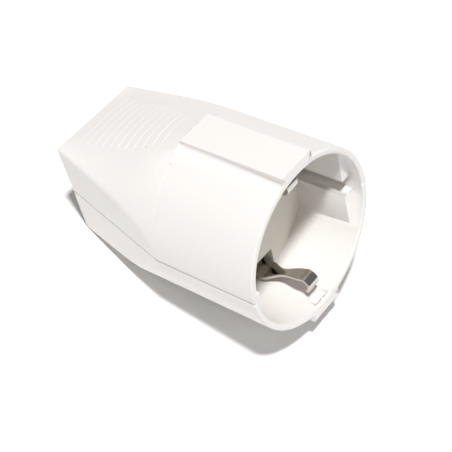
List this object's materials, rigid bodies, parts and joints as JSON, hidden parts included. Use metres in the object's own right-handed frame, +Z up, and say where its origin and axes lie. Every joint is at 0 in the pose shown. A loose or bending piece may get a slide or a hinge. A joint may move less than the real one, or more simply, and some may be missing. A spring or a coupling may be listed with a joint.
{
  "type": "earthed trailing socket",
  "caption": "In-line extension-lead socket with side earth clips: round plug recess in front, tapering ribbed grip behind, white two-shell housing.",
  "frame": {"origin": "middle of the bounding box, on the surface that the socket lies on", "axes": "+X towards the plug's side, level; the plug's path rises 15 degrees from it; +Y to the left seen from the tail; +Z up"},
  "size_m": [0.07, 0.0428, 0.0511],
  "materials": {
    "housing": "satin white moulded thermoplastic",
    "carrier": "satin white moulded thermoset",
    "brass": "bright turned brass",
    "nickel": "nickel-plated strip",
    "steel": "zinc-plated steel"
  },
  "bodies": {
    "root": {"upper_shell": "housing", "lower_shell": "housing", "contact_carrier": "carrier", "contact_retainer": "carrier", "earth_bow": "nickel", "earth_terminal": "brass", "earth_terminal_screw": "steel", "cord_clamp": "carrier", "live_contact": "brass", "live_contact_spring": "steel", "live_terminal_screw": "steel", "neutral_contact": "brass", "neutral_contact_spring": "steel", "neutral_terminal_screw": "steel", "shell_screw_left": "steel", "shell_nut_left": "steel", "clamp_screw_left": "steel", "shell_screw_right": "steel", "shell_nut_right": "steel", "clamp_screw_right": "steel"}
  },
  "joints": []
}
